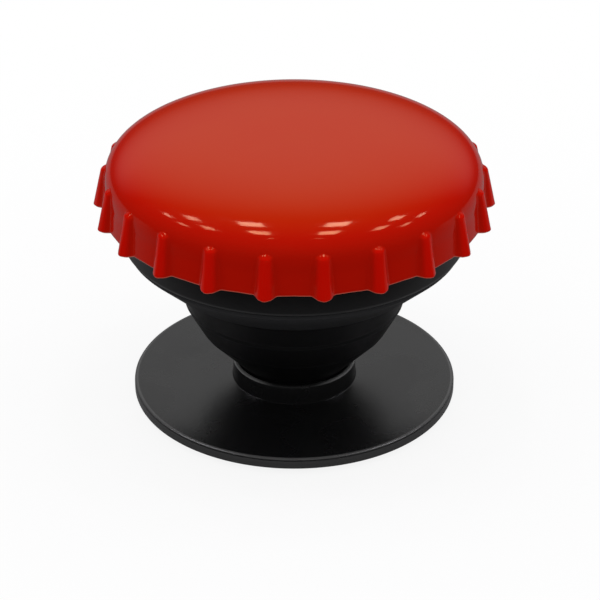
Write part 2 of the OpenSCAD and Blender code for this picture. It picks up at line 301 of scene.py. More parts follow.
def make_world():
    """White for the camera, an even fill for matt light, and a dim room for mirror-like faces."""
    world = bpy.data.worlds.new("studio")
    bpy.context.scene.world = world
    world.use_nodes = True
    tree = world.node_tree
    nodes, links = tree.nodes, tree.links
    nodes.clear()
    out = nodes.new("ShaderNodeOutputWorld")
    light = nodes.new("ShaderNodeBackground")
    light.inputs["Strength"].default_value = 1
    place = nodes.new("ShaderNodeTexCoord")
    way = nodes.new("ShaderNodeSeparateXYZ")
    links.new(place.outputs["Generated"], way.inputs[0])
    path = nodes.new("ShaderNodeLightPath")
    depth = ranged(tree, way.outputs["Y"], *BACKDROP_TURN)
    rise = ranged(tree, way.outputs["Z"], *BACKDROP_RISE, BACKDROP_LOW, 1.0)
    room = grey_ramp(tree, sums(tree, "MULTIPLY", depth, rise),
                     ((0.0, DARK_ROOM), (1.0, BACKDROP)))
    inside = blend_colours(tree, path.outputs["Is Glossy Ray"], FILL, room)
    links.new(blend_colours(tree, seen_mask(nodes, links), inside, 1.0), light.inputs["Color"])
    links.new(light.outputs[0], out.inputs[0])


def make_floor():
    """White floor at the height of the pad's sticky face, which rests on it."""
    deselect_all()
    bpy.ops.mesh.primitive_plane_add(size=FLOOR_SIDE, location=(0, 0, 0))
    floor = bpy.context.object
    floor.name = "floor"
    material = bpy.data.materials.new("pale floor")
    material.use_nodes = True
    nodes, links = material.node_tree.nodes, material.node_tree.links
    nodes.clear()
    out = nodes.new("ShaderNodeOutputMaterial")
    lit = nodes.new("ShaderNodeBsdfDiffuse")
    glow = nodes.new("ShaderNodeEmission")
    glow.inputs["Color"].default_value = (1, 1, 1, 1)
    glow.inputs["Strength"].default_value = 1
    mix = nodes.new("ShaderNodeMixShader")
    seen = seen_mask(nodes, links)
    path = nodes.new("ShaderNodeLightPath")
    place = nodes.new("ShaderNodeTexCoord")
    way = nodes.new("ShaderNodeSeparateXYZ")
    links.new(place.outputs["Object"], way.inputs[0])
    away = nodes.new("ShaderNodeVectorMath")
    away.operation = "LENGTH"
    links.new(place.outputs["Object"], away.inputs[0])
    tree = material.node_tree
    table = grey_ramp(tree, ranged(tree, way.outputs["Y"], *TABLE_TURN),
                      ((0.0, TABLE_DARK), (1.0, TABLE_PALE)))
    mirrored = blend_colours(tree, ranged(tree, away.outputs["Value"], *NEAR_EDGE), NEAR_FLOOR,
                             table)
    unseen = blend_colours(tree, path.outputs["Is Glossy Ray"], FLOOR_BOUNCE, mirrored)
    links.new(blend_colours(tree, seen, unseen, FLOOR_WHITE), lit.inputs["Color"])
    weight = nodes.new("ShaderNodeMath")
    weight.operation = "MULTIPLY"
    links.new(ranged(tree, away.outputs["Value"], *FLOOR_FADE, 1 - FLOOR_LIT_SHARE, 1.0),
              weight.inputs[1])
    links.new(seen, weight.inputs[0])
    links.new(weight.outputs[0], mix.inputs[0])
    links.new(lit.outputs[0], mix.inputs[1])
    links.new(glow.outputs[0], mix.inputs[2])
    links.new(mix.outputs[0], out.inputs[0])
    floor.data.materials.append(material)


make_world()
make_floor()
print("stage is ready")

# %% [markdown]
# The photo's highlights tell where its lamps were. Pairs of bright windows sit on the front
# shoulder of the cap, left and right alike. Traced back from the camera over the curved shoulder,
# they come from a regular grid of short ceiling lights above and behind the grip. So the ceiling
# here has six columns of small lamps in two rows, and one faint lamp on each side of the middle in
# front of them. Places and sizes are shares of the ceiling's height above the cap, because only
# the direction of a lamp decides where its highlight sits.

# %% Ceiling lamps
CEILING = 0.45
LAMP_COLUMNS = ((0.18, 1.0), (0.54, 0.76), (0.88, 0.7))
LAMP_ROWS = ((0.33, 0.13, 1.0), (0.03, 0.14, 0.95))
LAMP_WIDTH = 0.105
LAMP_RADIANCE = 14
LAMP_COLOUR = (0.95, 0.94, 1.0)
FAINT_LAMP = (0.15, -0.225, 0.05, 0.03)
FAINT_RADIANCE = 6


def add_lamp(name, x, y, width, length, radiance):
    """Rectangular lamp that faces down. Place and size are shares of the ceiling's height."""
    data = bpy.data.lights.new(name, "AREA")
    data.shape = "RECTANGLE"
    data.size = width * CEILING
    data.size_y = length * CEILING
    data.energy = radiance * math.pi * data.size * data.size_y
    data.color = LAMP_COLOUR
    lamp = bpy.data.objects.new(name, data)
    lamp.location = (x * CEILING, y * CEILING, CAP_TOP + CEILING)
    bpy.context.scene.collection.objects.link(lamp)


def light_ceiling():
    """The grid of lamps, the same left and right, with the two faint ones in front."""
    count = 0
    for side in (-1, 1):
        for x, column_share in LAMP_COLUMNS:
            for y, length, row_share in LAMP_ROWS:
                add_lamp(f"ceiling lamp {count}", side * x, y, LAMP_WIDTH, length,
                         LAMP_RADIANCE * column_share * row_share)
                count += 1
        x, y, width, length = FAINT_LAMP
        add_lamp(f"faint lamp {side}", side * x, y, width, length, FAINT_RADIANCE)
    print("lamps:", count, "and 2 faint ones")


light_ceiling()

# %% [markdown]
# Finishes share some effects, so each effect is a node group that is built once. The grain group
# gives a height for the fine matt texture of a mould, and a slow mottle. The handling group gives
# a mask of faint smears and tiny specks, which change roughness a little where hands and dust have
# been. A group puts out only values, and the shader itself stays in the material.


# %% Node groups for shared effects
def new_group(name, inputs, outputs):
    """Empty shader group with float inputs, a vector input and float outputs."""
    group = bpy.data.node_groups.new(name, "ShaderNodeTree")
    group.interface.new_socket("Vector", in_out="INPUT", socket_type="NodeSocketVector")
    for label, value in inputs:
        socket = group.interface.new_socket(label, in_out="INPUT", socket_type="NodeSocketFloat")
        socket.default_value = value
    for label in outputs:
        group.interface.new_socket(label, in_out="OUTPUT", socket_type="NodeSocketFloat")
    start = group.nodes.new("NodeGroupInput")
    end = group.nodes.new("NodeGroupOutput")
    return group, start, end


def noise(group, vector, scale, detail, rough=0.5):
    """Noise texture; scale is a socket or a number of cells in a metre."""
    node = group.nodes.new("ShaderNodeTexNoise")
    group.links.new(vector, node.inputs["Vector"])
    if isinstance(scale, (int, float)):
        node.inputs["Scale"].default_value = scale
    else:
        group.links.new(scale, node.inputs["Scale"])
    node.inputs["Detail"].default_value = detail
    node.inputs["Roughness"].default_value = rough
    return node.outputs["Fac"]


def build_grain():
    """Fine height of a mould's texture, and a slow mottle of about 8 mm."""
    group, start, end = new_group("mould grain", [("Cells", 9000.0)], ["Height", "Mottle"])
    fine = noise(group, start.outputs["Vector"], start.outputs["Cells"], 2.0, 0.6)
    coarse_cells = sums(group, "MULTIPLY", start.outputs["Cells"], 0.31)
    coarse = noise(group, start.outputs["Vector"], coarse_cells, 2.0, 0.5)
    both = sums(group, "ADD", fine, sums(group, "MULTIPLY", coarse, 0.6))
    group.links.new(both, end.inputs["Height"])
    slow = noise(group, start.outputs["Vector"], 120.0, 3.0, 0.55)
    group.links.new(ranged(group, slow, 0.35, 0.68), end.inputs["Mottle"])
    return group


def build_handling():
    """Faint smears, and small specks of dust that are rare."""
    group, start, end = new_group("handling", [("Amount", 0.5)], ["Smear", "Speck"])
    broad = noise(group, start.outputs["Vector"], 55.0, 4.0, 0.6)
    streak = noise(group, start.outputs["Vector"], 420.0, 3.0, 0.6)
    smear = sums(group, "MULTIPLY", ranged(group, broad, 0.45, 0.72),
                 ranged(group, streak, 0.35, 0.75))
    group.links.new(sums(group, "MULTIPLY", smear, start.outputs["Amount"]),
                    end.inputs["Smear"])
    cells = group.nodes.new("ShaderNodeTexVoronoi")
    cells.inputs["Scale"].default_value = 900.0
    group.links.new(start.outputs["Vector"], cells.inputs["Vector"])
    dot = ranged(group, cells.outputs["Distance"], 0.0, 0.07, 1.0, 0.0)
    rare = ranged(group, noise(group, start.outputs["Vector"], 260.0, 1.0), 0.6, 0.7)
    speck = sums(group, "MULTIPLY", dot, rare)
    group.links.new(sums(group, "MULTIPLY", speck, start.outputs["Amount"]),
                    end.inputs["Speck"])
    return group


GRAIN = build_grain()
HANDLING = build_handling()
print("groups:", GRAIN.name, "and", HANDLING.name)

# %% [markdown]
# Each material is a Principled BSDF with its own values. It starts from the piece's own object
# coordinates, so that a mark stays on the piece when the piece moves. These helpers place a shared
# group, mix a colour by a mask, let a mask move the roughness, and raise the surface.


# %% Helpers for materials
def start_material(name, colour, roughness, specular=0.5, ior=1.46):
    """New material with a Principled BSDF, and the piece's own object coordinates.

    The colour set here is only a start, because a tint takes its place in every finish.
    """
    material = bpy.data.materials.new(name)
    material.use_nodes = True
    tree = material.node_tree
    shader = tree.nodes["Principled BSDF"]
    shader.inputs["Base Color"].default_value = (*colour, 1)
    shader.inputs["Roughness"].default_value = roughness
    shader.inputs["Specular IOR Level"].default_value = specular
    shader.inputs["IOR"].default_value = ior
    place = tree.nodes.new("ShaderNodeTexCoord")
    return material, tree, shader, place.outputs["Object"]


def use_group(tree, group, vector, **values):
    """Place a shared group in a material, with this material's own values."""
    node = tree.nodes.new("ShaderNodeGroup")
    node.node_tree = group
    tree.links.new(vector, node.inputs["Vector"])
    for label, value in values.items():
        node.inputs[label].default_value = value
    return node


def tint(tree, shader, mask, plain, other):
    """Mix the base colour from one colour to another by a mask."""
    mix = tree.nodes.new("ShaderNodeMix")
    mix.data_type = "RGBA"
    tree.links.new(mask, mix.inputs["Factor"])
    mix.inputs["A"].default_value = (*plain, 1)
    mix.inputs["B"].default_value = (*other, 1)
    tree.links.new(mix.outputs["Result"], shader.inputs["Base Color"])


def rough_by(tree, shader, mask, low, high):
    """Let a mask move the roughness between two values."""
    tree.links.new(ranged(tree, mask, 0.0, 1.0, low, high), shader.inputs["Roughness"])


def bump(tree, shader, height, distance, strength=1.0):
    """Raise the surface by a height socket; distance is in metres."""
    node = tree.nodes.new("ShaderNodeBump")
    node.inputs["Distance"].default_value = distance
    node.inputs["Strength"].default_value = strength
    tree.links.new(height, node.inputs["Height"])
    tree.links.new(node.outputs["Normal"], shader.inputs["Normal"])


def measures(tree, place):
    """Distance from the Z axis, height above the sticky face, and distance to either side."""
    split = tree.nodes.new("ShaderNodeSeparateXYZ")
    tree.links.new(place, split.inputs[0])
    flat = tree.nodes.new("ShaderNodeVectorMath")
    flat.operation = "MULTIPLY"
    flat.inputs[1].default_value = (1, 1, 0)
    tree.links.new(place, flat.inputs[0])
    length = tree.nodes.new("ShaderNodeVectorMath")
    length.operation = "LENGTH"
    tree.links.new(flat.outputs["Vector"], length.inputs[0])
    side = sums(tree, "ABSOLUTE", split.outputs["X"], 0)
    return length.outputs["Value"], split.outputs["Z"], side


print("material helpers are ready")

# %% [markdown]
# The red of the cap isn't one flat colour in the photo. The flat top is a little warmer: a painted
# sheen, for the warm glow that the top catches from the light above. The tooth crests are a
# clearer red than the panels between them: painted light, for the light that the crests catch as
# they stand out. The thin lip at the lower edge is paler: a painted highlight, for the pale floor
# that its rounded edge mirrors. Each of these is a mask: the height of a point, its distance from
# the axis, or the way its surface faces. The plastic is glossy, and its surface only waves by a
# few micrometres, as moulded plastic does. In the photo what it mirrors looks warm too, so a
# Specular Tint warms the reflections seen head on, and the ones at a grazing angle stay white,
# like those of any clear plastic.

# %% Red gloss of the cap
SKIRT_R = 23.1 * MM
CROWN_H = 6.05 * MM
SHOULDER_Z = CAP_TOP - CROWN_H
SHOULDER_H = 2.7 * MM
EDGE_Z = SHOULDER_Z - SHOULDER_H
RED = (0.55, 0.007, 0.0015)
# The warmer red of the top is a painted sheen.
RED_TOP_SHEEN = (0.55, 0.031, 0.003)
# The clearer red of the crests is painted light.
RED_CREST_LIT = (0.69, 0.005, 0.001)
# The pale red of the lip is a painted highlight.
RED_LIP_HIGHLIGHT = (0.75, 0.14, 0.09)
MIRROR_TINT = (1.0, 0.6, 0.27, 1)
TOP_SHEEN_BAND = (CAP_TOP - 2.7 * MM, CAP_TOP + 0.2 * MM)
CREST_SLOPE = 0.15
CREST_BAND = (SKIRT_R + 0.25 * MM, SKIRT_R + 0.85 * MM)
LIP_FACING = (-0.5, -0.12)
LIP_BAND = (SKIRT_R - 0.5 * MM, SKIRT_R - 0.3 * MM)


def over(tree, shader, mask, colour):
    """Lay a colour over the base colour where a mask is 1."""
    mix = tree.nodes.new("ShaderNodeMix")
    mix.data_type = "RGBA"
    under = shader.inputs["Base Color"].links[0].from_socket
    tree.links.new(mask, mix.inputs["Factor"])
    tree.links.new(under, mix.inputs["A"])
    mix.inputs["B"].default_value = (*colour, 1)
    tree.links.new(mix.outputs["Result"], shader.inputs["Base Color"])


def facing_up(tree):
    """1 where the surface faces up, 0 where it faces sideways, -1 where it faces down."""
    split = tree.nodes.new("ShaderNodeSeparateXYZ")
    coords = tree.nodes.new("ShaderNodeTexCoord")
    tree.links.new(coords.outputs["Normal"], split.inputs[0])
    return split.outputs["Z"]


def red_gloss():
    """Glossy red with a painted sheen on top, painted light on the crests and a painted highlight
    on the lip.
    """
    material, tree, shader, place = start_material("red gloss plastic", RED, 0.09, specular=0.4)
    grain = use_group(tree, GRAIN, place, Cells=260.0)
    marks = use_group(tree, HANDLING, place, Amount=0.6)
    away, height, side = measures(tree, place)
    # Painted sheen: the top is painted warmer towards the crown.
    top_sheen = ranged(tree, height, *TOP_SHEEN_BAND)
    top_sheen = sums(tree, "MULTIPLY", top_sheen, ranged(tree, grain.outputs["Mottle"], 0, 1, 0.92, 1.0))
    tint(tree, shader, top_sheen, RED, RED_TOP_SHEEN)
    # Painted light: the crests are painted a clearer red than the panels.
    above = sums(tree, "SUBTRACT", height, EDGE_Z)
    crest = sums(tree, "ADD", away, sums(tree, "MULTIPLY", above, CREST_SLOPE))
    over(tree, shader, ranged(tree, crest, *CREST_BAND), RED_CREST_LIT)
    # Painted highlight: the lip's rounded lower edge is painted paler.
    lip = sums(tree, "MULTIPLY", ranged(tree, facing_up(tree), *LIP_FACING, 1.0, 0.0),
               ranged(tree, away, *LIP_BAND))
    over(tree, shader, lip, RED_LIP_HIGHLIGHT)
    shader.inputs["Specular Tint"].default_value = MIRROR_TINT
    rough_by(tree, shader, marks.outputs["Smear"], 0.07, 0.17)
    bump(tree, shader, grain.outputs["Height"], 0.006 * MM)
    return material


RED_GLOSS = red_gloss()
print("made", RED_GLOSS.name)

# %% [markdown]
# The disc and the drum are hard black plastic with a satin surface: very dark, with a fine grain
# that spreads what it mirrors. In the photo the disc's upper edge and the top of the collar show
# thin grey lines. They are painted highlights, for the light that these rounded edges mirror, and
# the collar's painted highlight is strongest at its two sides. A band mask picks such a line by
# its distance from the axis and its height. The same grey also marks rare specks of dust. The drum
# is duller than the disc, so it mirrors less and more softly.

# %% Black satin of the disc and the drum
DISC_T = 1.3 * MM
COLLAR_R = 7.65 * MM
DISC_TOP = disc_low.z + DISC_T
BLACK = (0.0045, 0.0045, 0.005)
# This grey is a painted highlight on the edges, and dust on the specks.
BLACK_DUST_AND_HIGHLIGHT = (0.22, 0.22, 0.22)
BAND_SOFT = 0.12 * MM
RIM_HIGHLIGHT = 0.4
SPECK_RUB = 0.4
HIGHLIGHT_SIDES = (2.2 * MM, 5.8 * MM)
SIDE_HIGHLIGHT_SHARE = (0.07, 0.9)
DRUM_SHINE = 0.6


def band(tree, value, low, high):
    """1 between two values, with soft ends, and 0 outside."""
    return sums(tree, "MULTIPLY", ranged(tree, value, low, low + BAND_SOFT),
                ranged(tree, value, high - BAND_SOFT, high, 1.0, 0.0))


def black_satin():
    """Satin black with painted highlights on the edges of the disc and the collar, dust specks,
    and a duller drum.
    """
    material, tree, shader, place = start_material("black satin plastic", BLACK, 0.28,
                                                   specular=1.0, ior=1.62)
    grain = use_group(tree, GRAIN, place, Cells=7000.0)
    marks = use_group(tree, HANDLING, place, Amount=0.8)
    away, height, side = measures(tree, place)
    # Painted highlights: the disc's upper edge and the collar's top, strongest at the collar's
    # sides.
    rim = sums(tree, "MULTIPLY", band(tree, away, DISC_R - 0.5 * MM, DISC_R + 0.5 * MM),
               band(tree, height, DISC_TOP - 0.2 * MM, DISC_TOP + 0.3 * MM))
    collar = sums(tree, "MULTIPLY", band(tree, away, COLLAR_R - 0.45 * MM, COLLAR_R + 0.2 * MM),
                  band(tree, height, COLLAR_TOP - 0.25 * MM, COLLAR_TOP + 0.3 * MM))
    side_highlight = ranged(tree, side, *HIGHLIGHT_SIDES, *SIDE_HIGHLIGHT_SHARE)
    # The specks are real dust; the rest of this grey is painted highlight.
    dust_and_highlight = sums(tree, "MAXIMUM", sums(tree, "MULTIPLY", rim, RIM_HIGHLIGHT),
                sums(tree, "MULTIPLY", collar, side_highlight))
    dust_and_highlight = sums(tree, "MAXIMUM", dust_and_highlight, sums(tree, "MULTIPLY", marks.outputs["Speck"], SPECK_RUB))
    tint(tree, shader, dust_and_highlight, BLACK, BLACK_DUST_AND_HIGHLIGHT)
    drum = ranged(tree, height, DRUM_Z - 0.3 * MM, DRUM_Z - 0.1 * MM)
    dull = sums(tree, "ADD", sums(tree, "MULTIPLY", grain.outputs["Mottle"], 0.3),
                sums(tree, "MULTIPLY", drum, 0.7))
    rough_by(tree, shader, dull, 0.26, 0.44)
    tree.links.new(ranged(tree, drum, 0.0, 1.0, 1.0, DRUM_SHINE),
                   shader.inputs["Specular IOR Level"])
    bump(tree, shader, grain.outputs["Height"], 0.012 * MM)
    return material


BLACK_SATIN = black_satin()
print("made", BLACK_SATIN.name)

# %% [markdown]
# The bellows is a soft elastomer. It shines less than hard plastic and is darker still. Its upper
# part, from the widest fold out to the edge under the drum, is painted a little greyer: painted
# light, for the light that the upper cone and the rim's edge catch. Faint smears of handling grey
# it a little too. These masks use the distance from the axis alone, because the bellows folds down
# with the head: its heights change then, but its radii stay.

# %% Soft black of the bellows
SOFT_START = (0.004, 0.004, 0.005)
SOFT_BLACK = (0.0035, 0.0035, 0.004)
# This grey is painted light on the upper fold and the rim's edge, and handling on the smears.
SOFT_SMEAR_AND_LIT = (0.034, 0.034, 0.036)
FOLD_BAND = (15.0 * MM, 15.8 * MM)
FOLD_LIGHT = 0.75
SMEAR_RUB = 0.2


def soft_black():
    """Dull black with painted light on the upper fold and the rim's edge, and faint smears."""
    material, tree, shader, place = start_material("soft black elastomer", SOFT_START, 0.45,
                                                   specular=0.3)
    grain = use_group(tree, GRAIN, place, Cells=5000.0)
    marks = use_group(tree, HANDLING, place, Amount=0.7)
    away, height, side = measures(tree, place)
    # Painted light: the upper fold and the rim's edge are painted greyer.
    fold_light = sums(tree, "MULTIPLY", ranged(tree, away, *FOLD_BAND), FOLD_LIGHT)
    edge = band(tree, away, RIM_R - 1.4 * MM, RIM_R - 0.12 * MM)
    smear_and_light = sums(tree, "MAXIMUM", sums(tree, "MAXIMUM", fold_light, edge),
                  sums(tree, "MULTIPLY", marks.outputs["Smear"], SMEAR_RUB))
    tint(tree, shader, smear_and_light, SOFT_BLACK, SOFT_SMEAR_AND_LIT)
    rough_by(tree, shader, grain.outputs["Mottle"], 0.42, 0.50)
    bump(tree, shader, grain.outputs["Height"], 0.008 * MM)
    return material


SOFT = soft_black()
print("made", SOFT.name)

# %% [markdown]
# The pad is a tacky gel with a matt, slightly uneven face. The plug and the washer are plain
# mouldings, and the tape is pale foam. They are all hidden in the photo, so their finishes are
# plain too, and one function makes the last three.

# %% Pad and hidden finishes
PAD_START = (0.02, 0.02, 0.022)
PAD_COLOURS = ((0.018, 0.018, 0.02), (0.03, 0.03, 0.033))


def gel_pad():
    """Matt gel whose colour and roughness vary slowly."""
    material, tree, shader, place = start_material("gel pad", PAD_START, 0.5)
    grain = use_group(tree, GRAIN, place, Cells=2500.0)
    tint(tree, shader, grain.outputs["Mottle"], *PAD_COLOURS)
    rough_by(tree, shader, grain.outputs["Mottle"], 0.35, 0.6)
    bump(tree, shader, grain.outputs["Height"], 0.03 * MM)
    return material


def plain_moulding(name, colour, other):
    """Plain matt moulding whose colour varies slowly between two tones."""
    material, tree, shader, place = start_material(name, colour, 0.45)
    grain = use_group(tree, GRAIN, place, Cells=4000.0)
    tint(tree, shader, grain.outputs["Mottle"], colour, other)
    rough_by(tree, shader, grain.outputs["Mottle"], 0.4, 0.52)
    bump(tree, shader, grain.outputs["Height"], 0.015 * MM)
    return material


def dress(piece, material):
    """Give a piece its one material."""
    piece.data.materials.clear()
    piece.data.materials.append(material)


PAD = gel_pad()
PLUG = plain_moulding("plug moulding", (0.03, 0.03, 0.032), (0.04, 0.04, 0.042))
WASHER = plain_moulding("washer moulding", (0.09, 0.1, 0.11), (0.11, 0.12, 0.13))
TAPE = plain_moulding("foam tape", (0.68, 0.66, 0.6), (0.6, 0.58, 0.52))
print("materials:", len(bpy.data.materials))

# %% [markdown]
# The crown cap is one glossy moulding. Its dome is flat in the middle and turns over a tight
# shoulder, and its skirt has evenly spaced teeth with smooth panels between them. It could be
# modelled tooth by tooth, but one pitch is enough: the outline of the plain cap is drawn once and
# spun over a single pitch, the vertices at the tooth are pushed outwards, and the finished pitch
# is copied round with the spin tool. This keeps every tooth the same. The functions below say how
# far a tooth stands out at each height, and how its push fades to both sides.

# %% Sizes of the cap
TEETH = 22
PITCH = 2 * math.pi / TEETH
SHOULDER_R = 22.8 * MM
SQUARENESS = 3.3
TIP_R = 24.3 * MM
TOOTH_DROP = 0.3 * MM
HEAD_R = 23.22 * MM
HEAD_Z = SHOULDER_Z + 1.7 * MM
HEAD_LEN = 0.52 * MM
HEAD_CURVE = 1.7
CREST_HALF = 0.5 * MM
CREST_DROP = 0.2
HEAD_HALF = 0.95 * MM
TIP_HALF = 1.45 * MM
PANEL_ARCH = 0.12 * MM
SKIRT_WALL = 1.2 * MM
CROWN_T = 1.9 * MM
LIP_ROUND = 0.3 * MM
LIP_DOWN = 0.15 * MM
CEILING_Z = CAP_TOP - CROWN_T
CAP_COLUMNS = 44
CROWN_ROWS = 36
SKIRT_ROWS = 12


def plain_r(z):
    """Radius of the cap without its teeth at a height z."""
    if z > SHOULDER_Z:
        rise = min(1.0, (z - SHOULDER_Z) / CROWN_H)
        return SHOULDER_R * (1 - rise ** SQUARENESS) ** (1 / SQUARENESS)
    return SKIRT_R + (SHOULDER_R - SKIRT_R) * (z - EDGE_Z) / SHOULDER_H


def crown_z(r):
    """Height of the dome at a radius r."""
    return SHOULDER_Z + CROWN_H * (1 - (r / SHOULDER_R) ** SQUARENESS) ** (1 / SQUARENESS)


def relief(z):
    """How far a tooth's crest stands out at a height z. Its head slopes in with a round curve."""
    past = max(0.0, z - HEAD_Z) / HEAD_LEN
    if past >= 1:
        return 0.0
    line = HEAD_R + (TIP_R - HEAD_R) * (HEAD_Z - z) / (HEAD_Z - EDGE_Z + TOOTH_DROP)
    return max(0.0, line - plain_r(z)) * (1 - past ** HEAD_CURVE)


def tooth_weight(s, z):
    """Share of the relief at a distance s along the wall from a tooth's centre."""
    past = min(0.99, max(0.0, z - HEAD_Z) / HEAD_LEN)
    s = abs(s) / math.sqrt(1 - past * past)
    share = min(1.0, max(0.0, (z - EDGE_Z) / (HEAD_Z - EDGE_Z)))
    foot = TIP_HALF + (HEAD_HALF - TIP_HALF) * share
    round_drop = CREST_DROP * min(1.0, s / CREST_HALF) ** 2
    t = min(1.0, max(0.0, (s - CREST_HALF) / (foot - CREST_HALF)))
    return (1 - round_drop) * (1 - t * t * (3 - 2 * t))


print("skirt edge at", round(EDGE_Z / MM, 2), "mm, shoulder at", round(SHOULDER_Z / MM, 2),
      "mm, a crest stands out", round(relief(EDGE_Z) / MM, 2), "mm at the edge")

# %% [markdown]
# The outline starts in the middle of the dome, whose rows are spaced so that the tight shoulder
# gets more of them. It goes down the skirt, round the lip, which has a small radius, and back up
# inside to the ceiling. The rows near a tooth's head lie close together, because the head is small
# and round. Only one pitch is spun, with a fixed number of columns.

# %% One pitch of the plain cap
def cap_outline():
    """From the middle of the dome, over the shoulder, down the skirt and up inside."""
    turns = [90 * (1 - k / CROWN_ROWS) for k in range(1, CROWN_ROWS + 1)]
    top = [(0, CAP_TOP)] + [(r, crown_z(r)) for r in
                            [SHOULDER_R * math.cos(math.radians(t)) ** (2 / SQUARENESS)
                             for t in turns] if crown_z(r) > HEAD_Z + HEAD_LEN * 1.15]
    shoulder = [(plain_r(z), z) for z in
                [HEAD_Z + HEAD_LEN * k for k in (1.0, 0.96, 0.88, 0.76, 0.6, 0.42, 0.2, 0)]]
    inner_r = SKIRT_R - SKIRT_WALL
    lip_z = EDGE_Z + LIP_ROUND - LIP_DOWN
    skirt = [(plain_r(z), z) for z in
             [HEAD_Z + (lip_z - HEAD_Z) * k / SKIRT_ROWS for k in range(1, SKIRT_ROWS)]]
    lip = arc((SKIRT_R - LIP_ROUND, lip_z), LIP_ROUND, 0, -90, 6)
    lip += [(inner_r + 0.2 * MM, EDGE_Z - LIP_DOWN), (inner_r, EDGE_Z + 0.05 * MM)]
    bend_z = SHOULDER_Z + (CEILING_Z - SHOULDER_Z) * 0.55
    inside = [(inner_r - 0.1 * MM, EDGE_Z + 1.2 * MM), (SHOULDER_R - SKIRT_WALL, SHOULDER_Z),
              (SHOULDER_R - SKIRT_WALL * 1.35, bend_z), (SHOULDER_R * 0.83, CEILING_Z - 0.35 * MM),
              (SHOULDER_R * 0.75, CEILING_Z), (SHOULDER_R * 0.4, CEILING_Z), (0, CEILING_Z)]
    return top + shoulder + skirt + lip + inside


def angle_of(co):
    """Angle of a vertex round the Z axis, from the first column of the pitch, either way."""
    return abs(math.atan2(co.y, co.x))


cap = draw_outline("crown_cap_shell", cap_outline())
spin_outline(cap, CAP_COLUMNS, PITCH)
print("one pitch of the cap has", len(cap.data.vertices), "vertices")


# %% [markdown]
# Now the tooth. Each row of the skirt is taken in turn, with the two columns at the same distance
# from the tooth's centre, and scaled outwards from the Z axis by the relief that the tooth has
# there. The lowest rows also move down, so that the tip hangs below the panels, and the edge of a
# panel arches a little between two teeth. Then the pitch is copied round, the copies are merged,
# and the cap is turned so that a panel faces the camera, as in the photo.

# %% Push out the tooth
def shape_tooth(piece):
    """Scale the picked columns of each row outwards, and lower the edge at the tooth."""
    step = PITCH / CAP_COLUMNS
    rows = {}
    for i, v in enumerate(piece.data.vertices):
        r = math.hypot(v.co.x, v.co.y)
        if v.co.z < HEAD_Z + HEAD_LEN and r > SHOULDER_R - SKIRT_WALL * 0.6:
            column = round(angle_of(v.co) / step)
            away = abs(column - CAP_COLUMNS // 2)
            rows.setdefault((round(v.co.z / MM, 3), round(r / MM, 3), away), []).append(i)
    for (z, r, away), members in sorted(rows.items()):
        z, r = z * MM, r * MM
        weight = tooth_weight(away * step * SKIRT_R, z)
        level = min(1.0, max(0.0, (HEAD_Z - z) / (HEAD_Z - EDGE_Z)))
        across = min(1.0, away / (CAP_COLUMNS / 2))
        sink = (TOOTH_DROP * weight + PANEL_ARCH * (1 - weight) * (1 - across)) * level ** 2
        out = relief(z - sink) * weight
        wall = max(0.0, min(1.0, (r - (plain_r(z) - SKIRT_WALL)) / SKIRT_WALL))
        move(piece, members, 1 + out * wall / r, -sink)


def move(piece, members, scale, lift):
    """Scale chosen vertices about the Z axis and lift them, with the transform tools."""
    wanted = set(members)
    bpy.ops.object.mode_set(mode="OBJECT")
    for i, v in enumerate(piece.data.vertices):
        v.select = i in wanted
    bpy.ops.object.mode_set(mode="EDIT")
    bpy.ops.transform.resize(value=(scale, scale, 1), center_override=(0, 0, 0))
    bpy.ops.transform.translate(value=(0, 0, lift))
    bpy.ops.object.mode_set(mode="OBJECT")


def copy_round(piece):
    """Copy the finished pitch round the axis, and turn the cap so that a panel faces front."""
    bpy.ops.object.mode_set(mode="EDIT")
    bpy.ops.mesh.select_all(action="SELECT")
    bpy.ops.mesh.spin(steps=TEETH - 1, dupli=True, angle=PITCH * (TEETH - 1), center=(0, 0, 0),
                      axis=(0, 0, 1))
    bpy.ops.mesh.select_all(action="SELECT")
    bpy.ops.transform.rotate(value=-math.pi / 2, orient_axis="Z", center_override=(0, 0, 0))
    bpy.ops.object.mode_set(mode="OBJECT")


bpy.ops.object.mode_set(mode="EDIT")
bpy.ops.mesh.select_mode(type="VERT")
bpy.ops.mesh.select_all(action="DESELECT")
bpy.ops.object.mode_set(mode="OBJECT")
shape_tooth(cap)
copy_round(cap)
close_skin(cap)
smooth(cap, 60)
dress(cap, RED_GLOSS)

# %% [markdown]
# The bellows is one thin elastomer moulding that folds flat when the head is pushed down. Its
# outline has a narrow foot in the collar, a lower cone, a middle wall with a ridge, a step, an
# upper cone and a rim that meets the head. The fold lines are thin grooves. It is turned from one
# closed outline, outer face first and inner face back, so its wall has a real thickness. Each
# point of the outline has a radius, a height and the radius of its corner.

# %% Bellows
WALL = 0.9 * MM
GAP = 0.1 * MM
FOOT_R = 6.9 * MM
FLOOR_BORE_R = 3.95 * MM
LIP_R = 19.65 * MM
LIP_IN = 1.9 * MM
GROOVE = 0.12 * MM
RIM_EDGE = 0.5 * MM
BELLOWS_STEPS = 168
RIM_Z = COLLAR_TOP + 16.85 * MM


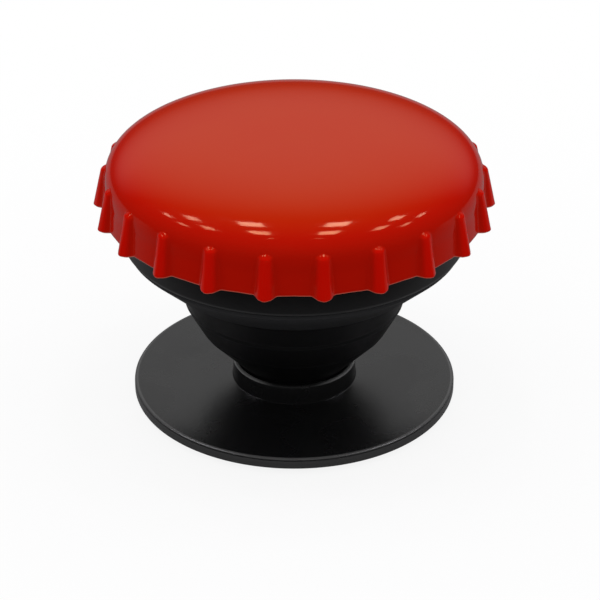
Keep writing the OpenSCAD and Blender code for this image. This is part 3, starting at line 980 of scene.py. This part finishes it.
def bellows_outline():
    """Closed outline of the bellows' wall, from the foot up outside and back down inside."""
    top = COLLAR_TOP
    low = (11.4 * MM, top + 4.9 * MM)
    ridge = (13.5 * MM, top + 8.7 * MM)
    step_low = (15.1 * MM, top + 12.4 * MM)
    step_high = (16.5 * MM, top + 13.3 * MM)
    rim = (RIM_R, RIM_Z)
    rim_top = rim[1] + RIM_EDGE
    g = GROOVE
    outer = [
        (FLOOR_BORE_R, bellows_low.z, 0), (FOOT_R, bellows_low.z, 0),
        (FOOT_R, top + GAP, 0.25 * MM),
        (low[0], low[1], 0.3 * MM), (low[0] + g / 2, low[1] + g * 2, 0.12 * MM),
        (low[0] + g * 2, low[1] + g * 3, 0.3 * MM), (ridge[0], ridge[1], 0.22 * MM),
        (ridge[0] - g / 2, ridge[1] + g * 3, 0.25 * MM), (step_low[0], step_low[1], 0.5 * MM),
        (step_high[0], step_high[1], 0.4 * MM), (rim[0], rim[1], 0.2 * MM),
        (rim[0], rim_top, 0.12 * MM), (LIP_R, rim_top, 0.05 * MM), (LIP_R, bellows_high.z, 0),
        (LIP_R - LIP_IN, bellows_high.z, 0), (LIP_R - LIP_IN, bellows_high.z - WALL, 0),
        (LIP_R - WALL, bellows_high.z - WALL, 0.2 * MM), (LIP_R - WALL, rim[1], 0.4 * MM)]
    inner = [
        (step_high[0] - 0.58 * MM, step_high[1] + 0.72 * MM, 0.4 * MM),
        (step_low[0] - 0.66 * MM, step_low[1] + 0.66 * MM, 0.4 * MM),
        (ridge[0] - 0.78 * MM, ridge[1] + 0.42 * MM, 0.3 * MM),
        (low[0] - 0.72 * MM, low[1] + 0.54 * MM, 0.4 * MM),
        (FOOT_R - WALL, top + GAP, 0.3 * MM), (FOOT_R - WALL, bellows_low.z + WALL, 0),
        (FLOOR_BORE_R, bellows_low.z + WALL, 0), (FLOOR_BORE_R, bellows_low.z, 0)]
    line = outer + inner
    return rounded([(x, z) for x, z, r in line], [r for x, z, r in line], 5)


bellows = draw_outline("bellows_skin", bellows_outline())
spin_outline(bellows, BELLOWS_STEPS)
close_skin(bellows)
smooth(bellows, 40)
dress(bellows, SOFT)

# %% [markdown]
# The base disc is hard black plastic. Its top is flat, its upper edge is softly rounded, and a low
# collar stands round the foot of the bellows. Underneath are the bore, in which the plug turns,
# and the recess for the plug's head. A spun outline with rounded corners gives all of that.

# %% Base disc
SOCKET_R = 7.0 * MM
BORE_R = 4.0 * MM
RECESS_R = 6.2 * MM
RECESS = 0.7 * MM
DISC_STEPS = 240


def disc_outline():
    """Closed outline of the disc, its collar, its bore and the recess underneath."""
    low, top = disc_low.z, DISC_TOP
    line = [
        (BORE_R, low + RECESS, 0), (RECESS_R, low + RECESS, 0), (RECESS_R, low, 0.05 * MM),
        (DISC_R * 0.5, low, 0), (DISC_R * 0.8, low, 0), (DISC_R, low, 0.1 * MM),
        (DISC_R, top, 0.35 * MM), (DISC_R * 0.86, top, 0), (DISC_R * 0.66, top, 0),
        (COLLAR_R + 1.5 * MM, top, 0), (COLLAR_R, top, 0.2 * MM), (COLLAR_R, COLLAR_TOP, 0.2 * MM),
        (SOCKET_R, COLLAR_TOP, 0.15 * MM), (SOCKET_R, top, 0.1 * MM), (BORE_R, top, 0.05 * MM),
        (BORE_R, low + RECESS, 0)]
    return rounded([(x, z) for x, z, r in line], [r for x, z, r in line], 5)


disc = draw_outline("base_disc_shell", disc_outline())
spin_outline(disc, DISC_STEPS)
close_skin(disc)
smooth(disc, 40)
dress(disc, BLACK_SATIN)

# %% [markdown]
# The top plate is the hard drum that shows as a dark band between the cap and the bellows. Its
# lower edge is the part that the camera sees, so that edge gets a generous radius, which mirrors
# the pale floor as one soft line. The platform above it follows the solid.

# %% Top plate
DRUM_H = 4.4 * MM
DRUM_EDGE = 1.0 * MM
PLATE_WALL = 1.2 * MM
PLATFORM_R = 16.6 * MM


def plate_outline():
    """Outline of the drum and its platform, from the axis inside to the axis on top."""
    top = DRUM_Z + DRUM_H
    web = top - PLATE_WALL
    ceiling = plate_high.z - PLATE_WALL
    bore, hollow = DRUM_R - PLATE_WALL, PLATFORM_R - PLATE_WALL
    line = [
        (0, ceiling, 0), (hollow, ceiling, 0.3 * MM), (hollow, web, 0.2 * MM),
        (bore, web, 0.1 * MM), (bore, DRUM_Z, 0.1 * MM),
        (DRUM_R, DRUM_Z, DRUM_EDGE), (DRUM_R, top, 0.3 * MM), (PLATFORM_R, top, 0.2 * MM),
        (PLATFORM_R, plate_high.z, 0.2 * MM), (0, plate_high.z, 0)]
    return rounded([(x, z) for x, z, r in line], [r for x, z, r in line], 5)


plate = draw_outline("top_plate_shell", plate_outline())
spin_outline(plate, DISC_STEPS)
close_skin(plate)
smooth(plate, 40)
dress(plate, BLACK_SATIN)

# %% [markdown]
# The sticky pad is a soft gel sheet. Its edge is cut by a die, so it bulges a little between its
# flat faces. The plug, its washer and the tape can't be seen from outside. Their solids already
# have the right shape, so they only get a finish.

# %% Pad and hidden pieces
PAD_R = pad_high.x
PAD_BULGE = ((0.12, 0), (0.03, 0.2), (0, 0.5), (0.03, 0.8), (0.12, 1))


def pad_outline():
    """Flat faces and a slightly bulged edge."""
    thick = pad_high.z - pad_low.z
    edge = [(PAD_R - back * MM, pad_low.z + thick * share) for back, share in PAD_BULGE]
    middle = PAD_R * 0.6
    return ([(0, pad_low.z), (middle, pad_low.z)] + edge
            + [(middle, pad_high.z), (0, pad_high.z)])


pad = draw_outline("adhesive_pad_gel", pad_outline())
spin_outline(pad, DISC_STEPS)
close_skin(pad)
smooth(pad, 40)
dress(pad, PAD)
for node, finish in (("foot_plug", PLUG), ("foot_washer", WASHER), ("cap_tape", TAPE)):
    dress(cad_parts[node], finish)
    print("dressed", node)

# %% [markdown]
# Now each piece rides on its CAD body and takes the place of its CAD node. The bellows crosses the
# joint between the neck and the head: its foot stays in the collar and its rim goes down with the
# head. Here the bellows is only fixed where it stands, and its CAD node is hidden.

# %% Ride and replace
NEW_PIECES = (
    (cap, "head", "crown_cap", "red_gloss"),
    (plate, "head", "top_plate", "black_hard"),
    (disc, "base", "base_disc", "black_hard"),
    (pad, "base", "adhesive_pad", "pad"),
)
for piece, body, node, slot in NEW_PIECES:
    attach(piece, body)
    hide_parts(node)
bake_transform(bellows)
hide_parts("bellows")
print("pieces that ride:", len(NEW_PIECES), "and 1 that is blended")

# %% [markdown]
# The Standard view shows a colour about as it is written, which suits a product picture on white.

# %% Look settings
bpy.context.scene.view_settings.view_transform = "Standard"
